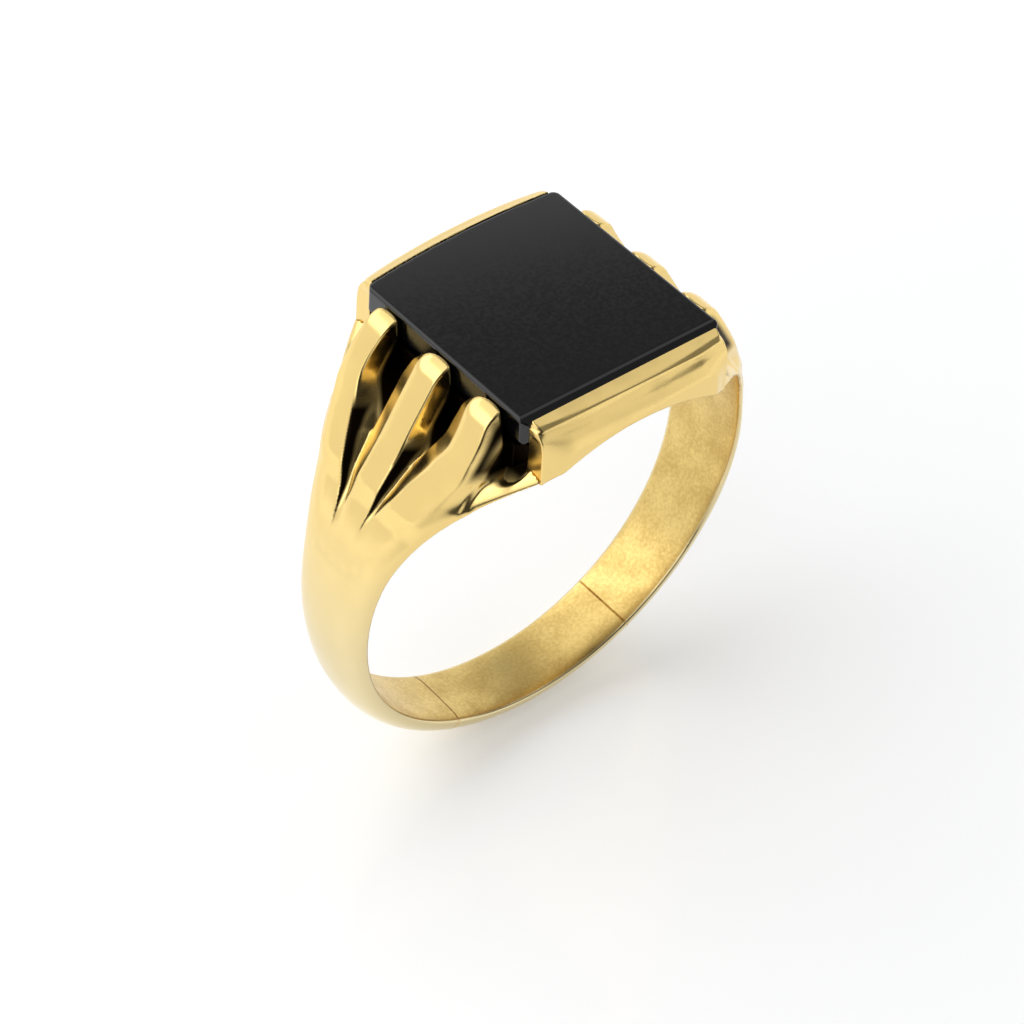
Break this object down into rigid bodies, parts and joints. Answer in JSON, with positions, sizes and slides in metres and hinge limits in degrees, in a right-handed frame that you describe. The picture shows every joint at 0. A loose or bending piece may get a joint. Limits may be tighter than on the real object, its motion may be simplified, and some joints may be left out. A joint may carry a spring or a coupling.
{
  "type": "signet ring",
  "caption": "Gents' signet ring: half-round gold band fanning into claws on each shoulder, two cheeks and a square black onyx plate.",
  "frame": {"origin": "centre of the finger hole, half-way along the finger", "axes": "+Y along the finger hole's axis, +Z from the back of the band towards the stone, +X towards the right shoulder"},
  "size_m": [0.0214, 0.013, 0.0223],
  "materials": {
    "gold": "polished yellow gold with a soft, worn satin bloom; darker and a little tarnished inside the band",
    "solder": "gold solder, slightly duller than the band",
    "onyx": "polished black onyx"
  },
  "bodies": {
    "root": {"sizing_piece": "gold", "solder_seam_left": "solder", "solder_seam_right": "solder", "shank_left": "gold", "shank_right": "gold", "claw_left_back": "gold", "claw_left_middle": "gold", "claw_left_front": "gold", "claw_right_back": "gold", "claw_right_middle": "gold", "claw_right_front": "gold", "cheek_front": "gold", "cheek_back": "gold", "bearer_left": "gold", "bearer_right": "gold", "onyx_plate": "onyx"}
  },
  "joints": []
}
